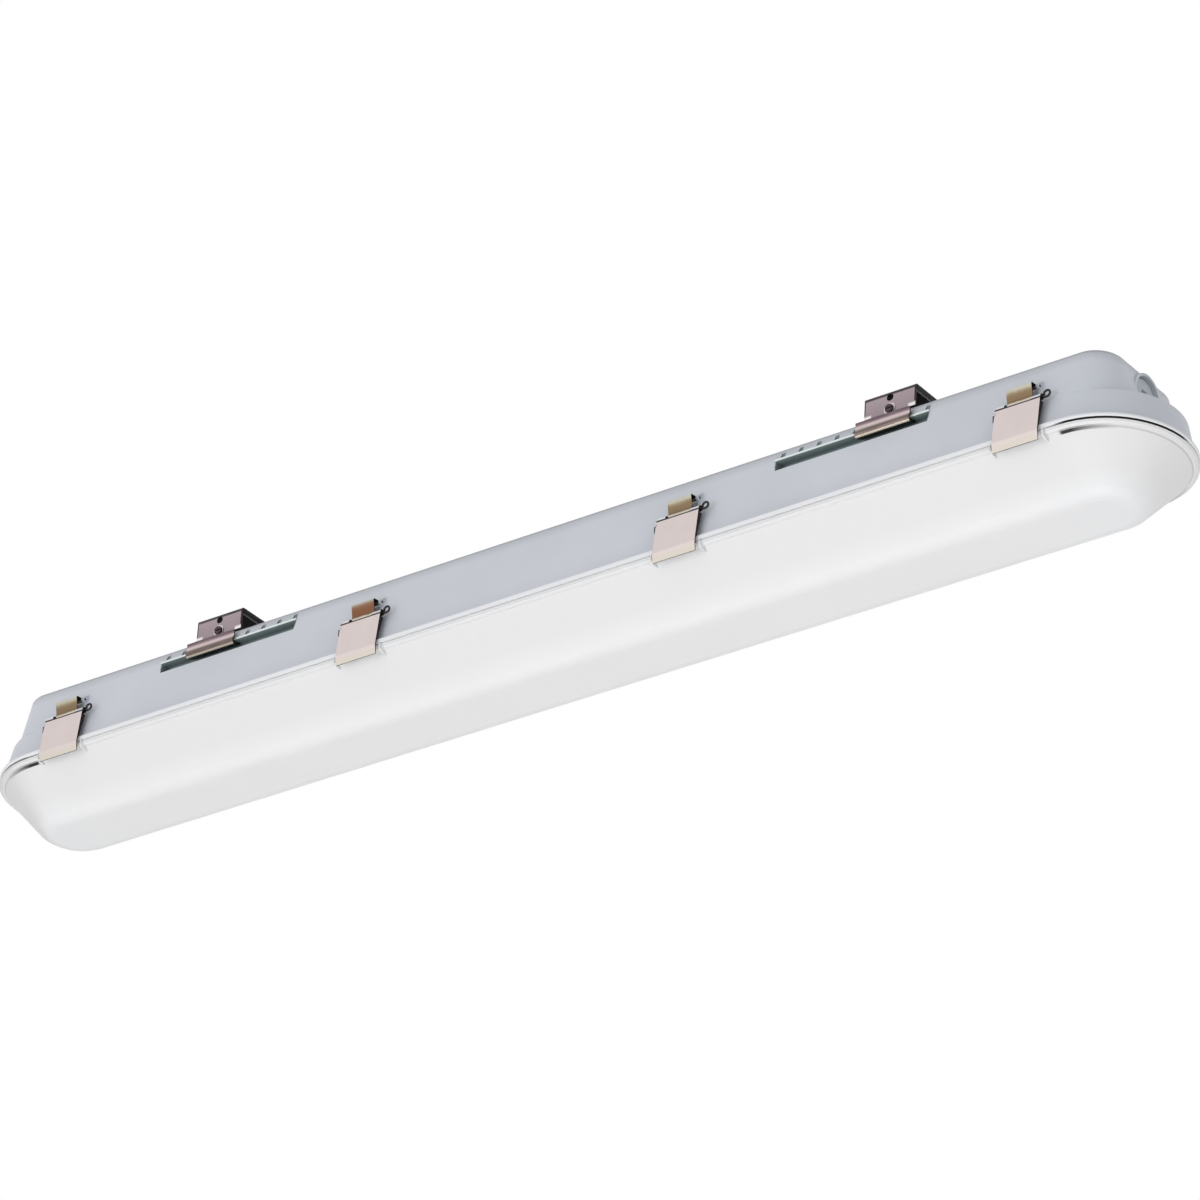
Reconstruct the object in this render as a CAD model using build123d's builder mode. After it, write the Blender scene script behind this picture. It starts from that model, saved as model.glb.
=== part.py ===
from build123d import *
import math
import os

# A four-foot vapor tight light fixture: a moulded housing hangs by two sliding ceiling brackets,
# and a frosted diffuser is clamped under it by eight toggle latches.
# Millimetres. The origin is on the ceiling, midway between the two bracket screws.
# +X runs along the fixture, -Y is the side with the first row of latches, +Z is up.

os.makedirs("parts", exist_ok=True)

# Housing. Heights below are measured from the joint line, the underside of the housing's rim.
rim_length = 1270.0
rim_width = 152.6
rim_thickness = 4.0
joint_line_z = -101.5
wall = 3.0
draft = math.tan(math.radians(11.7))
foot_half_width = 72.7
shoulder_height = 32.0
housing_height = 78.0
hump_half_length = 592.0
hump_corner_low = 38.0
hump_corner_high = 25.0
top_edge_radius = 7.0

# Ceiling brackets. They sit off the middle of their slots, so the housing hangs a little to one side.
screw_spacing = 734.0
bracket_left_offset = -359.0
middle_x = -screw_spacing / 2 - bracket_left_offset
bracket_width = 52.0
bracket_sheet = 1.5
bracket_half_depth = 54.25
ceiling_hole_radius = 3.5

# Slots in the housing's long walls that the brackets hook into.
slot_centre = 341.0
slot_half_length = 78.0
slot_low = 54.0
slot_high = 63.7
slot_floor = 52.0
rail_reach = 61.9
tooth_pitch = 18.5
teeth = 9

# Latches, four on each long side.
latch_spacing = 346.0
latches_per_side = 4
plate_half_width = 22.3
plate_sheet = 1.0
hook_half_width = 12.5
hook_sheet = 0.8
pin_radius = 1.0
eye_clearance = 0.05
wall_pivot = (67.0, 48.5)
lever_pivot = (72.9, 31.9)

# Diffuser. Depths are below the joint line.
diffuser_gap = 1.2
flange_depth = 5.0
flange_edge = 75.8
bowl_mouth = 70.8
bowl_depth = 48.5
bowl_corner = 31.0
bowl_radius = 20.0
diffuser_wall = 2.5

# Gear tray and what it carries.
tray_height = 9.0
tray_sheet = 0.8
tray_half_width = 55.0
tray_half_length = 575.0
tray_lip_height = 20.0
board_length = 540.0
board_width = 26.0
board_thickness = 1.6
board_gap = 10.0
chips_per_board = 36
chip_pitch = 15.0
chip_size = (3.5, 2.8, 0.8)
driver_ends = (-150.0, 130.0)
driver_half_width = 20.0
driver_height = 28.0
terminal_ends = (-275.0, -245.0)
terminal_half_width = 16.0
terminal_height = 16.0
pole_pitch = 10.0

# Rim gasket.
gasket_inner = 71.9
gasket_outer = 74.7
groove_depth = 2.0
seat_clearance = 0.1

# Cable entries in the end walls: a ring, a recess, a threaded hole, and in it a plug on a flat seal.
entry_height = 54.0
entry_ring_radius = 20.0
entry_recess_radius = 17.5
entry_face = 597.0
entry_seat = 589.0
entry_inner_end = 583.0
entry_thread_radius = 10.5
plug_flange_radius = 16.6
plug_flange = 3.5
plug_seal = 1.0


def level(height):
    """A level plane at a height over the joint line, centred on the housing."""
    return Plane(origin=(middle_x, 0, joint_line_z + height))


def section(x, side=1):
    """A cross-section plane: its x is the distance from the centre line, its y the height over the joint."""
    return Plane(origin=(x, 0, joint_line_z), x_dir=(0, side, 0), z_dir=(side, 0, 0))


def facing(x, side):
    """A plane along the centre line, seen from one side: its x runs to the right, its y is the height."""
    return Plane(origin=(x, 0, joint_line_z), x_dir=(-side, 0, 0), z_dir=(0, side, 0))


def end_plane(end, reach):
    """A plane across the entry's axis at a reach from the housing's middle, facing out of that end."""
    origin = (middle_x + end * reach, 0, joint_line_z + entry_height)
    return Plane(origin=origin, x_dir=(0, end, 0), z_dir=(end, 0, 0))


def wall_reach(height):
    """Distance from the centre line to the housing's drafted long wall."""
    return foot_half_width - draft * (height - rim_thickness)


def hump_reach(height):
    """Distance from the middle to the hump's drafted end wall."""
    return hump_half_length + draft * (housing_height - height)


def tub(draw_outline, end_centre, mode=Mode.ADD):
    """Carry a section along both long sides and round both ends, whose centres are at end_centre."""
    for side in (1, -1):
        start_x = middle_x - side * end_centre
        turn_x = middle_x + side * end_centre
        with BuildSketch(section(start_x, side)) as run_profile:
            with BuildLine():
                draw_outline()
            make_face()
        extrude(run_profile.sketch, amount=2 * end_centre, mode=mode)
        with BuildSketch(section(turn_x, side)) as turn_profile:
            with BuildLine():
                draw_outline()
            make_face()
        revolve(turn_profile.sketch, axis=Axis((turn_x, 0, 0), (0, 0, -1)), revolution_arc=180, mode=mode)


def finish(builder, name):
    """Label a finished piece and write it."""
    builder.part.label = name
    export_step(builder.part, f"parts/{name}.step")


# Centres of the rim's round ends, the same for every piece that follows the rim.
end_centre = (rim_length - rim_width) / 2

latch_places = []
for side_name, side in (("front", -1), ("rear", 1)):
    for number in range(latches_per_side):
        latch_x = middle_x + (number - (latches_per_side - 1) / 2) * latch_spacing
        latch_places.append((f"{side_name}_{number + 1}", side, latch_x))


# Housing shell: a shallow tub with round ends carries a long hump with drafted walls.

def lower_body():
    half = rim_width / 2
    groove_inner = gasket_inner - seat_clearance
    groove_outer = gasket_outer + seat_clearance
    Polyline(
        (0, 0), (groove_inner, 0), (groove_inner, groove_depth), (groove_outer, groove_depth),
        (groove_outer, 0), (half, 0), (half, rim_thickness), (foot_half_width, rim_thickness),
        (wall_reach(shoulder_height), shoulder_height), (0, shoulder_height), close=True)


def lower_cavity():
    inside = wall / math.cos(math.atan(draft))
    Polyline(
        (0, -1), (wall_reach(-1) - inside, -1), (wall_reach(shoulder_height) - inside, shoulder_height - wall),
        (0, shoulder_height - wall), close=True)


screw_boss_radius = 5.0
pilot_radius = 1.6
tray_screw_places = [(x, y) for x in (-520.0, -173.0, 173.0, 520.0) for y in (-44.0, 44.0)]

with BuildPart() as housing:
    tub(lower_body, end_centre)
    with BuildSketch(level(shoulder_height)):
        RectangleRounded(2 * hump_reach(shoulder_height), 2 * wall_reach(shoulder_height), hump_corner_low)
    with BuildSketch(level(housing_height)):
        RectangleRounded(2 * hump_reach(housing_height), 2 * wall_reach(housing_height), hump_corner_high)
    loft()
    fillet(housing.edges().group_by(Axis.Z)[-1], top_edge_radius)
    # Rings round the cable entries on both end walls.
    for end in (1, -1):
        with BuildSketch(end_plane(end, entry_inner_end)):
            Circle(entry_ring_radius)
        extrude(amount=entry_face - entry_inner_end)
    # The cavity follows the walls.
    tub(lower_cavity, end_centre, mode=Mode.SUBTRACT)
    inside = wall / math.cos(math.atan(draft))
    ceiling = housing_height - wall
    with BuildSketch(level(shoulder_height - wall - 0.5)):
        RectangleRounded(
            2 * (hump_reach(shoulder_height) - inside), 2 * (wall_reach(shoulder_height) - inside),
            hump_corner_low - wall)
    with BuildSketch(level(ceiling)):
        RectangleRounded(
            2 * (hump_reach(ceiling) - inside), 2 * (wall_reach(ceiling) - inside), hump_corner_high - wall)
    loft(mode=Mode.SUBTRACT)
    # Each entry has a round recess, and behind it a thicker wall with the threaded hole.
    for end in (1, -1):
        with BuildSketch(end_plane(end, entry_inner_end)):
            Circle(entry_ring_radius)
        extrude(amount=entry_seat - entry_inner_end + wall)
        with BuildSketch(end_plane(end, entry_seat)):
            Circle(entry_recess_radius)
        extrude(amount=entry_face - entry_seat + 8, mode=Mode.SUBTRACT)
        with BuildSketch(end_plane(end, entry_inner_end)):
            Circle(entry_thread_radius)
        extrude(amount=entry_seat - entry_inner_end, mode=Mode.SUBTRACT)
    # Blind slots for the ceiling brackets: a pocket wall inside, a rail and stiffening teeth over the slot.
    for side in (1, -1):
        for slot_x in (middle_x - slot_centre, middle_x + slot_centre):
            with BuildSketch(section(slot_x - side * (slot_half_length + wall), side)):
                with BuildLine():
                    Polyline(
                        (slot_floor - wall, slot_low - wall), (58.5, slot_low - wall),
                        (57.5, slot_high + wall), (slot_floor - wall, slot_high + wall), close=True)
                make_face()
            extrude(amount=2 * (slot_half_length + wall))
            with BuildSketch(section(slot_x - side * (slot_half_length + 1), side)):
                with BuildLine():
                    Polyline(
                        (57.0, slot_high), (rail_reach, slot_high), (rail_reach, slot_high + 2.0),
                        (57.0, slot_high + 3.4), close=True)
                make_face()
            extrude(amount=2 * (slot_half_length + 1))
            for tooth in range(teeth):
                tooth_x = slot_x + (tooth - (teeth - 1) / 2) * tooth_pitch
                with BuildSketch(section(tooth_x - side * 1.2, side)):
                    with BuildLine():
                        Polyline(
                            (56.0, slot_high + 2), (rail_reach - 0.2, slot_high + 2),
                            (58.2, slot_high + 9), (55.0, slot_high + 9), close=True)
                    make_face()
                extrude(amount=2.4)
            with BuildSketch(section(slot_x - side * slot_half_length, side)):
                with BuildLine():
                    Polyline(
                        (slot_floor, slot_low), (75.0, slot_low),
                        (75.0, slot_high), (slot_floor, slot_high), close=True)
                make_face()
            extrude(amount=2 * slot_half_length, mode=Mode.SUBTRACT)
    # Bosses for the gear tray's screws.
    with BuildSketch(level(tray_height)):
        with Locations(*tray_screw_places):
            Circle(screw_boss_radius)
            Circle(pilot_radius, mode=Mode.SUBTRACT)
    extrude(amount=housing_height - wall - tray_height + 0.5)
finish(housing, "housing")


# Lugs that hold the latches' hinge pins: moulded apart, a pair for each latch, and bonded to the wall.

lug_inner = hook_half_width + 0.5
lug_thickness = 2.5
lug_radius = 2.6
lug_foot = (42.0, 56.0)

with BuildPart() as latch_lugs:
    for place, side, latch_x in latch_places:
        for lug_x in (latch_x - lug_inner - lug_thickness, latch_x + lug_inner):
            plane_x = lug_x if side == 1 else lug_x + lug_thickness
            with BuildSketch(section(plane_x, side)):
                with BuildLine():
                    Polyline(
                        (wall_reach(lug_foot[0]), lug_foot[0]), (wall_pivot[0], wall_pivot[1] - lug_radius),
                        (wall_pivot[0], wall_pivot[1] + lug_radius), (wall_reach(lug_foot[1]), lug_foot[1]),
                        close=True)
                make_face()
                with Locations(wall_pivot):
                    Circle(lug_radius)
                    Circle(pin_radius + eye_clearance, mode=Mode.SUBTRACT)
            extrude(amount=lug_thickness)
finish(latch_lugs, "latch_lugs")


# Rim gasket: it fills the groove under the housing's rim, and the diffuser's flange closes against it.

def gasket_outline():
    Polyline(
        (gasket_inner, seat_clearance - diffuser_gap), (gasket_outer, seat_clearance - diffuser_gap),
        (gasket_outer, groove_depth), (gasket_inner, groove_depth), close=True)


with BuildPart() as rim_gasket:
    tub(gasket_outline, end_centre)
finish(rim_gasket, "rim_gasket")


# Frosted diffuser: a thin bowl with sloping sides, a flange under the rim and small fins beside each latch.

wall_slope = math.atan2(bowl_depth - flange_depth, bowl_mouth - bowl_corner)
inner_floor = bowl_depth - diffuser_wall
inner_corner = bowl_corner - diffuser_wall * math.tan(wall_slope / 2)
inner_mouth = inner_corner + (inner_floor - diffuser_gap) / math.tan(wall_slope)
hook_land = 72.8
chamfer_depth = 2.4
fin_offset = 25.5
fin_thickness = 1.5
fin_reach = 77.6


def diffuser_outline():
    FilletPolyline(
        (0, -bowl_depth), (bowl_corner, -bowl_depth), (bowl_mouth, -flange_depth), radius=bowl_radius)
    Polyline(
        (bowl_mouth, -flange_depth), (hook_land, -flange_depth), (flange_edge, -chamfer_depth),
        (flange_edge, -diffuser_gap), (inner_mouth, -diffuser_gap))
    FilletPolyline(
        (inner_mouth, -diffuser_gap), (inner_corner, -inner_floor), (0, -inner_floor),
        radius=bowl_radius - diffuser_wall)
    Line((0, -inner_floor), (0, -bowl_depth))


with BuildPart() as diffuser:
    tub(diffuser_outline, end_centre)
    for place, side, latch_x in latch_places:
        for fin_x in (latch_x - fin_offset, latch_x + fin_offset):
            with BuildSketch(section(fin_x - side * fin_thickness / 2, side)):
                with BuildLine():
                    Polyline(
                        (bowl_mouth - 1, -4.0), (flange_edge - 0.3, -1.6), (fin_reach, -1.6),
                        (fin_reach, -6.4), (73.5, -9.0), (66.0, -9.0), close=True)
                make_face()
            extrude(amount=fin_thickness)
finish(diffuser, "diffuser")


# Screws: a round head on one side of a plane and a shank on the other.

def screws(plane, places, head_radius, head_height, shank_radius, shank_length, slot_width=0.0):
    """Heads stand along the plane's normal at every place, and shanks run the other way."""
    with BuildSketch(plane) as heads:
        with Locations(*places):
            Circle(head_radius)
    extrude(heads.sketch, amount=head_height)
    with BuildSketch(plane) as shanks:
        with Locations(*places):
            Circle(shank_radius)
    extrude(shanks.sketch, amount=-shank_length)
    if slot_width:
        with BuildSketch(plane.offset(head_height)) as slots:
            with Locations(*places):
                Rectangle(2.2 * head_radius, slot_width)
        extrude(slots.sketch, amount=-head_height / 2, mode=Mode.SUBTRACT)


def underside(height):
    """A level plane that faces down, centred on the housing; its y runs to the rear."""
    return Plane(origin=(middle_x, 0, joint_line_z + height), x_dir=(-1, 0, 0), z_dir=(0, 0, -1))


# Gear tray: a sheet pan screwed up against the housing's bosses.

tray_under = tray_height - tray_sheet
tab_reach = 9.0
tab_sheet = 1.2
driver_screw_places = [(driver_ends[0] - tab_reach / 2, 17.0), (driver_ends[1] + tab_reach / 2, -17.0)]
ground_place = (-200.0, 24.0)
board_centre = (board_length + board_gap) / 2
board_screw_places = [(end * board_centre + x, 9.5) for end in (-1, 1) for x in (-255.0, 0.0, 255.0)]
grommet_place = (180.0, -21.0)
grommet_radius = 5.0
screw_radius = 1.8
screw_hole_radius = 1.9

with BuildPart() as gear_tray:
    with BuildSketch(section(middle_x - tray_half_length)):
        with BuildLine():
            pan_height = tray_height - tray_sheet / 2
            FilletPolyline(
                (-tray_half_width, tray_lip_height), (-tray_half_width, pan_height),
                (tray_half_width, pan_height), (tray_half_width, tray_lip_height), radius=1.2)
        trace(line_width=tray_sheet)
    extrude(amount=2 * tray_half_length)
    with BuildSketch(level(tray_under)):
        with Locations(*tray_screw_places, *driver_screw_places, ground_place, *board_screw_places):
            Circle(screw_hole_radius)
        with Locations(grommet_place):
            Circle(grommet_radius)
    extrude(amount=tray_sheet, mode=Mode.SUBTRACT)
finish(gear_tray, "gear_tray")

with BuildPart() as tray_screws:
    mirrored = [(-x, y) for x, y in tray_screw_places]
    screws(underside(tray_under), mirrored, 3.8, 2.3, pilot_radius - eye_clearance, 16.0, slot_width=0.9)
finish(tray_screws, "tray_screws")

with BuildPart() as lead_grommet:
    with BuildSketch(level(tray_under - 1.0)):
        with Locations(grommet_place):
            Circle(grommet_radius + 1.5)
    extrude(amount=tray_sheet + 2.0)
    with BuildSketch(level(tray_under)):
        with Locations(grommet_place):
            Circle(grommet_radius + 2)
            Circle(grommet_radius, mode=Mode.SUBTRACT)
    extrude(amount=tray_sheet, mode=Mode.SUBTRACT)
    with BuildSketch(level(tray_under - 1.0)):
        with Locations(grommet_place):
            Circle(grommet_radius - 1.8)
    extrude(amount=tray_sheet + 2.0, mode=Mode.SUBTRACT)
finish(lead_grommet, "lead_grommet")


# Light boards under the tray, each with a row of chips, and the connectors between them.

board_under = tray_under - board_thickness
connector_size = (8.0, 5.0, 3.0)
connector_y = -9.5
connector_places = [(-14.0, connector_y), (14.0, connector_y), (grommet_place[0], connector_y)]

for board_side, end in (("left", -1), ("right", 1)):
    with BuildPart() as led_board:
        with BuildSketch(level(board_under)):
            with Locations((end * board_centre, 0)):
                Rectangle(board_length, board_width)
            with Locations(*board_screw_places):
                Circle(screw_hole_radius, mode=Mode.SUBTRACT)
        extrude(amount=board_thickness)
    finish(led_board, f"led_board_{board_side}")
    with BuildPart() as led_chips:
        with BuildSketch(level(board_under - chip_size[2])):
            with Locations((end * board_centre, 0)):
                with GridLocations(chip_pitch, 1, chips_per_board, 1):
                    Rectangle(chip_size[0], chip_size[1])
        extrude(amount=chip_size[2])
    finish(led_chips, f"led_chips_{board_side}")

with BuildPart() as board_screws:
    mirrored = [(-x, y) for x, y in board_screw_places]
    reach = board_thickness + tray_sheet
    screws(underside(board_under), mirrored, 3.0, 1.8, screw_radius, reach, slot_width=0.8)
finish(board_screws, "board_screws")

with BuildPart() as board_connectors:
    with BuildSketch(level(board_under - connector_size[2])):
        with Locations(*connector_places):
            Rectangle(connector_size[0], connector_size[1])
    extrude(amount=connector_size[2])
finish(board_connectors, "board_connectors")


# Driver and terminal block on top of the tray.

with BuildPart() as led_driver:
    driver_middle = sum(driver_ends) / 2
    driver_length = driver_ends[1] - driver_ends[0]
    with BuildSketch(level(tray_height)):
        with Locations((driver_middle, 0)):
            Rectangle(driver_length, 2 * driver_half_width)
    extrude(amount=driver_height)
    fillet(led_driver.edges().filter_by(Axis.X).group_by(Axis.Z)[-1], 3.0)
    with BuildSketch(level(tray_height)):
        for tab_x, tab_y in driver_screw_places:
            with Locations((tab_x, tab_y * 0.94)):
                Rectangle(tab_reach, 8.0)
        with Locations(*driver_screw_places):
            Circle(screw_hole_radius, mode=Mode.SUBTRACT)
    extrude(amount=tab_sheet)
finish(led_driver, "led_driver")

with BuildPart() as driver_screws:
    screws(level(tray_height + tab_sheet), driver_screw_places, 3.4, 2.2, screw_radius, 6.0, slot_width=0.9)
finish(driver_screws, "driver_screws")

pole_places = [-pole_pitch, 0.0, pole_pitch]
terminal_middle = sum(terminal_ends) / 2
clamp_places = [(terminal_middle + x, y) for x in (-7.0, 7.0) for y in pole_places]
lead_height = 5.0
clamp_depth = 6.0

with BuildPart() as terminal_block:
    with BuildSketch(level(tray_height)):
        with Locations((terminal_middle, 0)):
            Rectangle(terminal_ends[1] - terminal_ends[0], 2 * terminal_half_width)
    extrude(amount=terminal_height)
    with BuildSketch(level(tray_height + terminal_height)):
        with Locations(*clamp_places):
            Circle(3.0)
    extrude(amount=-clamp_depth, mode=Mode.SUBTRACT)
    with BuildSketch(level(tray_height + terminal_height)):
        with Locations(*clamp_places):
            Circle(1.35)
    extrude(amount=-clamp_depth - 4, mode=Mode.SUBTRACT)
    for end, face_x in ((-1, terminal_ends[0]), (1, terminal_ends[1])):
        with BuildSketch(section(middle_x + face_x - (10.0 if end == 1 else 0.0))):
            with Locations(*[(y, tray_height + lead_height) for y in pole_places]):
                Circle(2.0)
        extrude(amount=10.0, mode=Mode.SUBTRACT)
finish(terminal_block, "terminal_block")

with BuildPart() as terminal_screws:
    clamp_floor = tray_height + terminal_height - clamp_depth
    screws(level(clamp_floor), clamp_places, 2.7, 3.0, 1.3, 3.6, slot_width=0.8)
finish(terminal_screws, "terminal_screws")


# Inner wiring: straight runs joined by tangent arcs as large as the runs allow.

def lead(points, radius):
    """A round lead through points given as distance from the housing's middle, y and height."""
    corners = [Vector(middle_x + x, y, joint_line_z + height) for x, y, height in points]
    with BuildLine() as route:
        start = corners[0]
        for before, corner, after in zip(corners, corners[1:], corners[2:]):
            arriving = (corner - before).normalized()
            leaving = (after - corner).normalized()
            trim = 0.45 * min((corner - before).length, (after - corner).length)
            Line(start, corner - arriving * trim)
            TangentArc(corner - arriving * trim, corner + leaving * trim, tangent=arriving)
            start = corner + leaving * trim
        Line(start, corners[-1])
    with BuildSketch(Plane(origin=corners[0], z_dir=(corners[1] - corners[0]).normalized())) as end_face:
        Circle(radius)
    sweep(end_face.sketch, path=route.line)


terminal_lead = tray_height + lead_height
driver_lead = tray_height + 11.0
board_lead = board_under - connector_size[2] / 2
lug_height = 1.0
lug_lead = tray_height + 1.5

with BuildPart() as input_leads:
    for y in pole_places[:2]:
        lead([
            (terminal_ends[1] - 7, y, terminal_lead), (-214.0, y, terminal_lead),
            (-182.0, y, driver_lead), (driver_ends[0], y, driver_lead)], 1.1)
finish(input_leads, "input_leads")

with BuildPart() as output_leads:
    for shift in (-1.3, 1.3):
        x = grommet_place[0] + shift
        y = -6.0 + shift
        lead([
            (driver_ends[1], y, driver_lead), (x, y, driver_lead), (x, grommet_place[1], driver_lead),
            (x, grommet_place[1], board_lead), (x, connector_y - connector_size[1] / 2, board_lead)], 0.9)
finish(output_leads, "output_leads")

with BuildPart() as board_jumper:
    jumper_reach = 14.0 - connector_size[0] / 2
    for shift in (-1.3, 1.3):
        y = connector_y + shift
        lead([(-jumper_reach, y, board_lead), (jumper_reach, y, board_lead)], 0.7)
finish(board_jumper, "board_jumper")

with BuildPart() as ground_lead:
    lead([
        (terminal_ends[1] - 7, pole_pitch, terminal_lead), (-226.0, pole_pitch, terminal_lead),
        (-212.0, ground_place[1], lug_lead), (-205.0, ground_place[1], lug_lead)], 1.1)
    with BuildSketch(section(middle_x - 209.0)):
        with Locations((ground_place[1], lug_lead)):
            Circle(1.5)
    extrude(amount=5.0)
    with BuildSketch(level(tray_height)):
        with Locations(ground_place):
            Circle(4.2)
            Circle(screw_hole_radius, mode=Mode.SUBTRACT)
    extrude(amount=lug_height)
finish(ground_lead, "ground_lead")

with BuildPart() as ground_screw:
    with BuildSketch(level(tray_height + lug_height)):
        with Locations(ground_place):
            RegularPolygon(3.6, 6)
    extrude(amount=2.6)
    with BuildSketch(level(tray_height + lug_height)):
        with Locations(ground_place):
            Circle(screw_radius)
    extrude(amount=-6.0)
finish(ground_screw, "ground_screw")


# Cable-entry plugs with their flat seals, one in each end boss.

for plug_side, end in (("left", -1), ("right", 1)):
    seat = end_plane(end, entry_seat + plug_seal)
    with BuildPart() as entry_plug:
        with BuildSketch(seat):
            Circle(plug_flange_radius)
        extrude(amount=plug_flange)
        fillet(entry_plug.edges().sort_by(Axis.X)[-1 if end == 1 else 0], 1.0)
        with BuildSketch(seat.offset(plug_flange)):
            RegularPolygon(7.0, 6)
        extrude(amount=-2.5, mode=Mode.SUBTRACT)
        with BuildSketch(seat):
            Circle(entry_thread_radius - eye_clearance)
        extrude(amount=-9.0)
    finish(entry_plug, f"entry_plug_{plug_side}")

with BuildPart() as plug_seals:
    for end in (-1, 1):
        with BuildSketch(end_plane(end, entry_seat)):
            Circle(plug_flange_radius - 1)
            Circle(entry_thread_radius + 0.2, mode=Mode.SUBTRACT)
        extrude(amount=plug_seal)
finish(plug_seals, "plug_seals")


# Latches. A hook strap hangs from the wall pin, and a lever plate swings on the strap's own pin.

hook_strap = [(67.0, 49.9), (75.4, 49.1), (72.9, 38.0), (72.9, 33.3)]
hook_leg = [(72.4, 30.5), (74.0, 22.0), (77.05, 5.0), (77.05, -8.0), (73.4, -6.2)]
hook_bend = 1.2
eye_wall = 0.85
curl_radius = 3.1
knuckle_inner = 13.1
plate_profile = [(76.05, 31.4), (79.5, -2.0), (78.0, -11.0)]
plate_corner = 5.0
loop_centre = 26.6
loop_radius = 2.9
loop_arc = 285


def latch_section(latch_x, side, offset):
    """A section at a distance along a latch, counted to the left as one faces it."""
    return section(latch_x + side * offset, side)


with BuildPart() as latch_hinge_pins:
    for place, side, latch_x in latch_places:
        pin_half_length = lug_inner + lug_thickness + 0.4
        with BuildSketch(latch_section(latch_x, side, -pin_half_length)):
            with Locations(wall_pivot):
                Circle(pin_radius)
        extrude(amount=2 * pin_half_length)
finish(latch_hinge_pins, "latch_hinge_pins")

for place, side, latch_x in latch_places:
    with BuildPart() as latch_hook:
        with BuildSketch(latch_section(latch_x, side, -hook_half_width)):
            with BuildLine():
                FilletPolyline(*hook_strap, radius=hook_bend)
            trace(line_width=hook_sheet)
            with BuildLine():
                FilletPolyline(*hook_leg, radius=hook_bend)
            trace(line_width=hook_sheet)
            with Locations(wall_pivot, lever_pivot):
                Circle(pin_radius + eye_wall)
            with Locations(wall_pivot, lever_pivot):
                Circle(pin_radius + eye_clearance, mode=Mode.SUBTRACT)
        extrude(amount=2 * hook_half_width)
    finish(latch_hook, f"latch_hook_{place}")

    # The pin is a wire, with its right end turned up into an open loop that keeps it from sliding out.
    with BuildPart() as latch_pin:
        loop_start = latch_section(latch_x, side, -loop_centre)
        with BuildSketch(loop_start):
            with Locations(lever_pivot):
                Circle(pin_radius)
        extrude(amount=loop_centre + plate_half_width + 0.3)
        with BuildLine(facing(latch_x, side).offset(lever_pivot[0])) as loop:
            CenterArc((loop_centre, lever_pivot[1] + loop_radius), loop_radius, -90, loop_arc)
        with BuildSketch(loop_start) as wire_end:
            with Locations(lever_pivot):
                Circle(pin_radius)
        sweep(wire_end.sketch, path=loop.line)
    finish(latch_pin, f"latch_pin_{place}")

    with BuildPart() as latch_lever:
        with BuildSketch(latch_section(latch_x, side, -plate_half_width)):
            with BuildLine():
                FilletPolyline(*plate_profile, radius=2.0)
            trace(line_width=plate_sheet)
        extrude(amount=2 * plate_half_width)
        # Curled knuckles at both sides: an open curl, and inside it an eye on a short web.
        for knuckle_start in (-plate_half_width, knuckle_inner):
            with BuildSketch(latch_section(latch_x, side, knuckle_start)):
                with BuildLine():
                    CenterArc(lever_pivot, curl_radius, -12, 142)
                trace(line_width=plate_sheet)
                with BuildLine():
                    Line(
                        (lever_pivot[0], lever_pivot[1] + curl_radius),
                        (lever_pivot[0], lever_pivot[1] + pin_radius + eye_wall / 2))
                trace(line_width=plate_sheet)
                with Locations(lever_pivot):
                    Circle(pin_radius + eye_wall)
                    Circle(pin_radius + eye_clearance, mode=Mode.SUBTRACT)
            extrude(amount=plate_half_width - knuckle_inner)
        # One rounded upper corner and a small notch below it.
        with BuildSketch(facing(latch_x, side)):
            corner_top = lever_pivot[1] + curl_radius + plate_sheet / 2
            with Locations((-plate_half_width, corner_top)):
                Rectangle(2 * plate_corner, 2 * plate_corner)
            with Locations((plate_corner - plate_half_width, corner_top - plate_corner)):
                Circle(plate_corner, mode=Mode.SUBTRACT)
            with Locations((-plate_half_width, corner_top - 9)):
                Rectangle(2.4, 2.2)
        extrude(amount=flange_edge + 20, mode=Mode.SUBTRACT)
    finish(latch_lever, f"latch_lever_{place}")


# Ceiling brackets: inverted channels whose flared lips fold inwards and hook into the housing's slots.

bracket_profile = [
    (55.0, 62.6), (64.2, 58.8), (65.6, 62.5), (63.6, 67.5), (64.6, 72.5), (bracket_half_depth, 79.5),
    (bracket_half_depth, -joint_line_z - bracket_sheet / 2)]
bracket_bend = 1.6
bar_half_width = 27.5
neck_half_width = 18.5
neck_low = 73.0
neck_high = 79.5
screw_height = 84.0
upper_hole_height = 95.4
upper_hole_radius = 3.4
bracket_screw_radius = 2.4

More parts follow.
